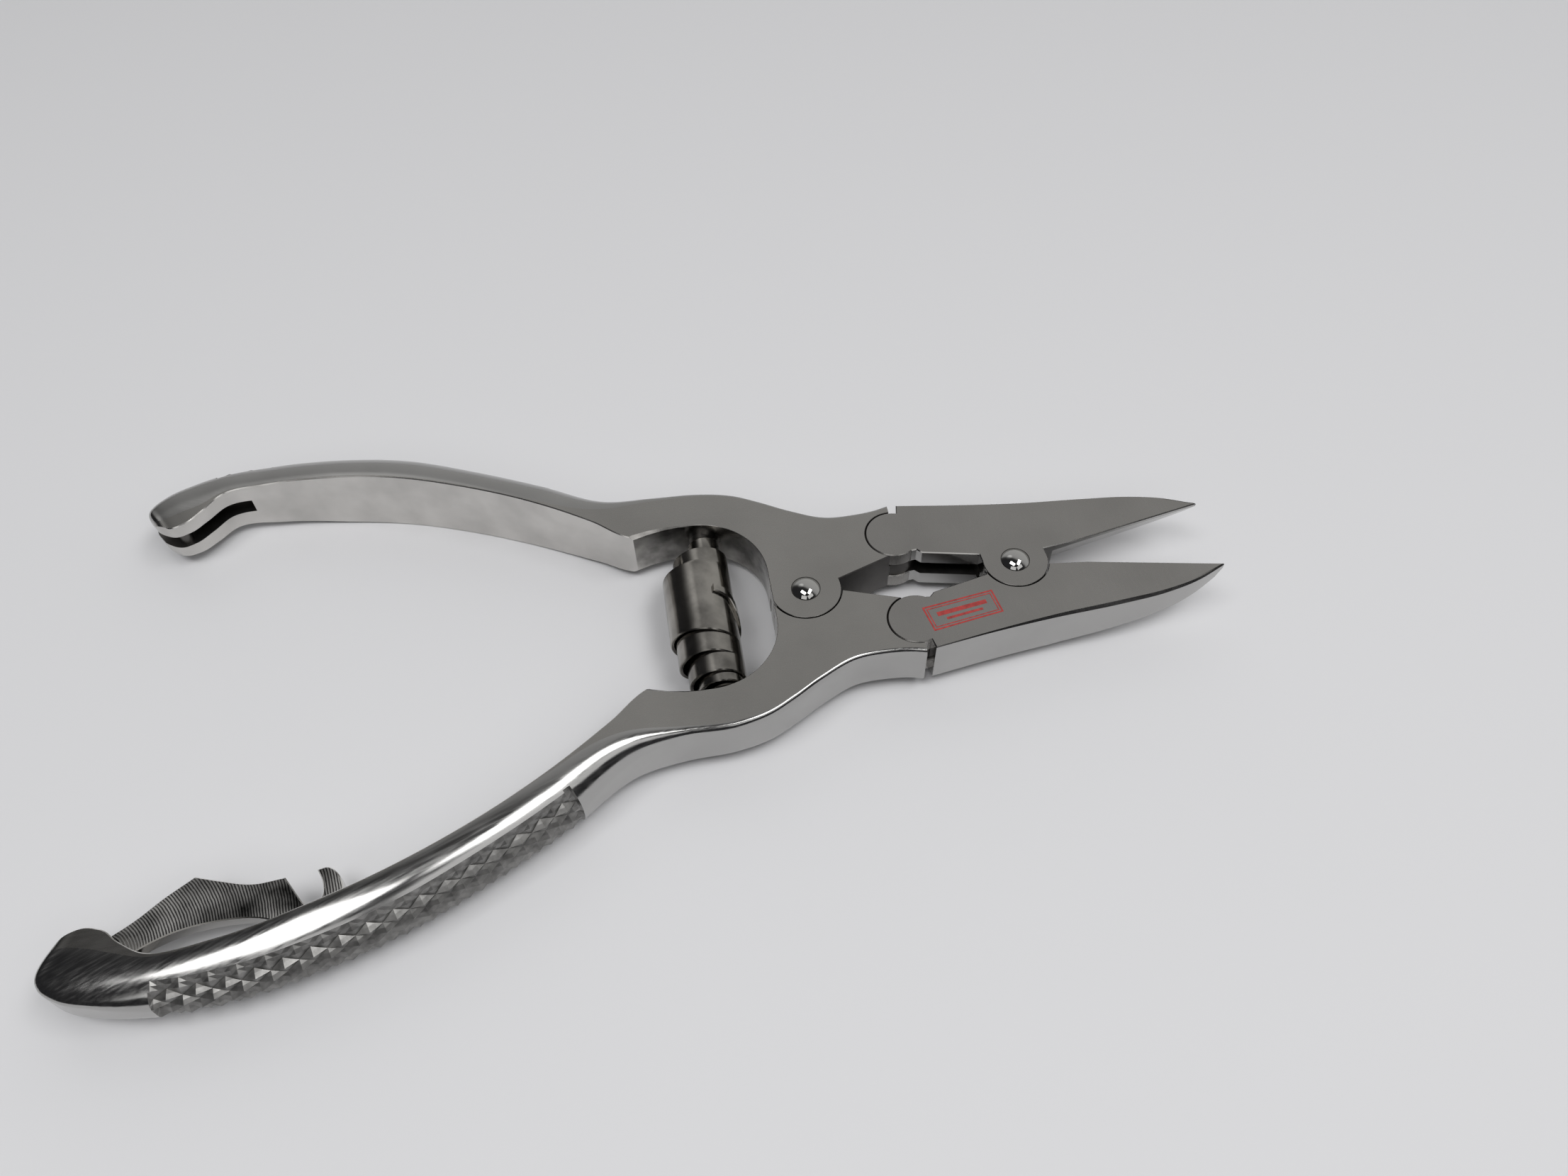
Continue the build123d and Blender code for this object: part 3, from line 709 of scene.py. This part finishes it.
def blade(name, lug_low, lug_high):
    """A blade on the upper side."""
    body = blade_body(name)
    fork = TONGUE + LAP
    cut(body, disc("tongue_seat", KNUCKLE, TONGUE_DISC + GAP, -fork, fork, finish=SUNK),
        disc("fork", FORK, FORK_RADIUS, -fork, fork, finish=SUNK))
    for low, high in ((fork, HEAD), (-HEAD, -fork)):
        join(body, disc("knuckle_disc", KNUCKLE, KNUCKLE_DISC, low, high, BREAK))
    lug(body, BLADE_PIVOT, BLADE_LUG, lug_low, lug_high, SUNK)
    cut(body, under_cut(), bevel_cut())
    return cut(body, *rivet_holes(BLADE_PIVOT, BLADE_BORE, SUNK),
               disc("pin_hole", KNUCKLE, BLADE_HOLE, -HEAD - 1, HEAD + 1, finish=SUNK, count=40))


# ---- rivets, spring and lever --------------------------------------------------------------------
def rivet(name, centre):
    """A rivet with a domed head on both faces."""
    ball = (DOME**2 + DOME_RISE**2) / (2 * DOME_RISE)
    face = HEAD + DOME_LIFT
    turns = np.linspace(math.asin(DOME / ball), 0.03, 14)
    dome = [(ball * math.sin(turn), face + DOME_RISE - ball + ball * math.cos(turn)) for turn in turns]
    seat = HEAD - RECESS + RECESS_FLOOR
    upper = [(RIVET, seat - 0.3), (RIVET, seat), (DOME, seat), (DOME, face)] + dome[1:]
    profile = [(radius, -height) for radius, height in reversed(upper)] + upper
    return solid(name, [level(circle(centre, radius, 48), height) for radius, height in profile])


def volute(name):
    """The barrel spring: one strip rolled into a telescoping volute, each inner turn reaching further out."""
    rings = []
    turns = STRIP_RADIUS[-1][0]
    for place in np.linspace(0, turns, int(turns * TURN) + 1):
        low, high, middle, radius = (np.interp(place, *zip(*table))
                                     for table in (STRIP_LOW, STRIP_HIGH, STRIP_MIDDLE, STRIP_RADIUS))
        angle = math.radians(STRIP_START - 360.0 * place)
        rows = np.linspace(low + BREAK, high - BREAK, STRIP_ROWS)
        ends = [(radius - BREAK, low)] + [(radius, y) for y in rows] + [(radius - BREAK, high)]
        ends += [(radius - STRIP, y) for y in reversed(rows)]
        rings.append([(middle + r * math.cos(angle), y, r * math.sin(angle)) for r, y in ends])
    return solid(name, rings)


def lever_outline():
    """Plan of the folded lock lever, counter-clockwise from its eye."""
    outer = ((-95.8, -42.6), (-91.1, -39.2), (-86.5, -37.3), (-81.0, -36.6), (-75.5, -37.1), (-72.0, -38.6),
             (-69.4, -39.5), (-67.2, -38.9), (-65.9, -37.4))
    hook_back = ((-65.9, -37.4), (-65.6, -34.7), (-66.3, -32.6), (-67.7, -31.4), (-69.0, -31.6))
    hook_front = ((-69.0, -31.6), (-68.3, -33.2), (-68.1, -34.7), (-68.5, -36.2))
    mouth = ((-69.3, -36.5), (-70.1, -36.3), (-70.75, -35.6), (-73.0, -32.0))
    scallop = ((-73.0, -32.0), (-77.0, -32.2), (-81.1, -31.1), (-84.4, -30.0))
    wing = ((-84.4, -30.0), (-88.1, -32.4), (-91.1, -34.7), (-94.9, -36.95))
    outline = arc(LEVER_PIVOT, LEVER_EYE, 72, 270, 20)
    for points, spacing in ((outer, 0.7), (hook_back, 0.5), (hook_front, 0.5)):
        outline += [tuple(point) for point in through(points, spacing)[1:]]
    outline += mouth
    for points in (scallop, wing):
        outline += [tuple(point) for point in through(points, 0.7)[1:]]
    return outline[:-1]


def lever(name):
    """The end lock's lever."""
    body = prism(name, lever_outline(), -LEVER_HALF, LEVER_HALF, BREAK)
    for face in body.data.polygons:
        face.material_index = int(abs(face.normal.z) < LEVEL_FACE)
    return cut(body, disc("pin_hole", LEVER_PIVOT, LEVER_HOLE, -2, 2, count=40))


def stamp_outline(left, right, low, high):
    """A plan rectangle inside the printed frame, mm from its left end and its lower side."""
    top_left, top_right, low_right, low_left = np.array(STAMP)
    width, depth = STAMP_SIZE
    outline = []
    for x, y in ((left, low), (right, low), (right, high), (left, high)):
        u, v = x / width, y / depth
        outline.append((1 - u) * (1 - v) * low_left + u * (1 - v) * low_right + u * v * top_right
                       + (1 - u) * v * top_left)
    return outline


def stamp(name):
    """A plain printed frame, double, round two plain bars, just proud of the lower blade's top face."""
    width, depth = STAMP_SIZE
    low, high = HEAD - STAMP_SUNK, HEAD + STAMP_PROUD
    marks = bmesh.new()
    for margin, line in STAMP_LINES:
        outer, inner = (stamp_outline(m, width - m, m, depth - m) for m in (margin, margin + line))
        rings = [level(outer, low), level(outer, high), level(inner, high), level(inner, low)]
        corners = [[marks.verts.new(point) for point in ring] for ring in rings]
        for i in range(4):
            for k in range(4):
                marks.faces.new((corners[i][k], corners[i][(k + 1) % 4], corners[(i + 1) % 4][(k + 1) % 4],
                                 corners[(i + 1) % 4][k]))
    for margin, bottom, top in STAMP_BARS:
        outline = stamp_outline(margin, width - margin, bottom, top)
        base, lid = ([marks.verts.new(point) for point in level(outline, height)] for height in (low, high))
        marks.faces.new(base[::-1])
        marks.faces.new(lid)
        for k in range(4):
            marks.faces.new((base[k], base[(k + 1) % 4], lid[(k + 1) % 4], lid[k]))
    bmesh.ops.recalc_face_normals(marks, faces=marks.faces)
    mesh = bpy.data.meshes.new(name)
    marks.to_mesh(mesh)
    marks.free()
    return added(name, mesh)


# ---- build ---------------------------------------------------------------------------------------
placed(lower_handle(), "lower_handle", [SATIN, LOWER_SIDE, LIT_INNER, MATTE, SHADED_SEAT, BAY_WALL],
       ["lower_handle"], (ROUGH,))
placed(upper_handle(), "upper_handle", [SATIN, SHADED_UPPER_SIDE, LIT_INNER, MATTE, SHADED_SEAT, BAY_WALL],
       ["upper_handle"], (ROUGH,))
placed(mirrored(blade("lower_blade_body", -HEAD, -LAP)), "lower_blade",
       [BLADE, EDGE, SHADED_SEAT, POLISHED], ["lower_blade"])
placed(blade("upper_blade_body", LAP, HEAD), "upper_blade", [BLADE, EDGE, SHADED_SEAT, POLISHED],
       ["upper_blade"])
placed(rivet("handle_rivet", (0, 0)), "lower_handle", [MIRROR], ["handle_pivot_rivet"])
placed(rivet("blade_rivet", BLADE_PIVOT), "lower_blade", [MIRROR], ["blade_pivot_rivet"])
placed(lever("lever_body"), "lock_lever", [LEVER, LIT_LEVER_EDGE], ["lock_lever"])
placed(stamp("stamp"), "lower_blade", [INK])
spring = placed(volute("spring_strip"), None, [SPRING], ["barrel_spring"])
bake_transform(spring)
# the pegs and pins take the near-black seat colour, painted shade; the knuckle pins take the blade's steel
for node, finish in (("lower_knuckle_pin", BLADE), ("upper_knuckle_pin", BLADE), ("lower_spring_peg", SHADED_SEAT),
                     ("upper_spring_peg", SHADED_SEAT), ("lock_lever_pin", SHADED_SEAT), ("lock_catch_pin", SHADED_SEAT)):
    kept = frame["nodes"][node]
    kept.data.materials.clear()
    kept.data.materials.append(finish)

# ---- floor, light and camera ---------------------------------------------------------------------
FLOOR_HALF = 1.5                        # metres
floor_mesh = bpy.data.meshes.new("floor")
floor_mesh.from_pydata([(-FLOOR_HALF, -FLOOR_HALF, 0), (FLOOR_HALF, -FLOOR_HALF, 0),
                        (FLOOR_HALF, FLOOR_HALF, 0), (-FLOOR_HALF, FLOOR_HALF, 0)], [], [(0, 1, 2, 3)])
floor = added("floor", floor_mesh)
paper, _, _, paper_shader = new_material("paper")
paper_shader.inputs["Base Color"].default_value = (0.80, 0.80, 0.815, 1)
paper_shader.inputs["Roughness"].default_value = 0.8
floor_mesh.materials.append(paper)


def light(name, place, size, power):
    """A rectangular soft light that faces the tool."""
    lamp = bpy.data.lights.new(name, "AREA")
    lamp.shape = "RECTANGLE"
    lamp.size, lamp.size_y = size
    lamp.energy = power
    holder = added(name, lamp)
    holder.location = place
    holder.rotation_euler = Vector(place).to_track_quat("Z", "Y").to_euler()


# a window of four panes, about a metre away, above the tool and in front of it
PANE_COLUMNS = ((-0.28, 0.60), (0.42, 0.62))                # place in x and width, metres
PANE_ROWS = ((0.93, 0.30, 3.3), (0.66, 0.34, 0.6))          # place in z and height, metres, and power, watts
for side, width in PANE_COLUMNS:
    for up, height, power in PANE_ROWS:
        light("pane", (side, -math.sqrt(max(0.05, 1 - side**2 - up**2)), up), (width, height), power)

BACKLIGHT = (0.60, 0.75, 0.10)          # towards the brightest side of the room
GREYS = ((0.14, 0.04), (0.25, 0.11), (0.33, 0.32), (0.46, 0.45), (0.62, 0.50))      # on the way to it
LAMP = (-0.35, 0.59, 0.73)              # towards a soft lamp in it
LAMP_EDGE, LAMP_POWER = (0.955, 0.995), (1.0, 2.2)          # cosines from its edge inwards, and its strength


def room():
    """Surroundings that the polished steel reflects: bright behind the tool on the right, dark in front."""
    made = bpy.data.worlds.new("room")
    made.use_nodes = True
    nodes, links = made.node_tree.nodes, made.node_tree.links
    where = nodes.new("ShaderNodeTexCoord").outputs["Generated"]
    shade = nodes.new("ShaderNodeValToRGB")
    ramp = shade.color_ramp
    ramp.elements[0].position, ramp.elements[0].color = 0.0, (0.03, 0.03, 0.032, 1)
    ramp.elements[1].position, ramp.elements[1].color = 1.0, (0.55, 0.55, 0.54, 1)
    for position, value in GREYS:
        ramp.elements.new(position).color = (value, value, value, 1)
    links.new(toward(nodes, links, where, BACKLIGHT), shade.inputs["Fac"])
    glow = remapped(nodes, links, toward(nodes, links, where, LAMP), LAMP_EDGE, LAMP_POWER)
    links.new(glow, nodes["Background"].inputs["Strength"])
    links.new(shade.outputs["Color"], nodes["Background"].inputs["Color"])
    return made


def toward(nodes, links, where, direction):
    """How far a direction output points along a direction."""
    product = nodes.new("ShaderNodeVectorMath")
    product.operation = "DOT_PRODUCT"
    product.inputs[1].default_value = direction
    links.new(where, product.inputs[0])
    return product.outputs["Value"]


bpy.context.scene.world = room()
bpy.context.scene.view_settings.view_transform = "Standard"

CAMERA_PLACE, CAMERA_TARGET = (-19.38, -107.39, 148.81), (-2.70, 3.43, 0.0)         # mm, design frame
CAMERA_ROLL = -1.0                      # degrees
LENS, SENSOR = 28.48, 36.0              # focal length and sensor width, mm
NEAR = 0.005                            # metres
camera_data = bpy.data.cameras.new("camera")
camera_data.lens, camera_data.sensor_width = LENS, SENSOR
camera_data.clip_start = NEAR
camera = added("camera", camera_data)
ahead = (Vector(CAMERA_TARGET) - Vector(CAMERA_PLACE)).to_track_quat("-Z", "Y").to_matrix().to_4x4()
aimed = ahead @ Matrix.Rotation(math.radians(CAMERA_ROLL), 4, "Z")
camera.matrix_world = Matrix.Translation((Vector(CAMERA_PLACE) + Vector(SHIFT)) * 0.001) @ aimed
bpy.context.scene.camera = camera
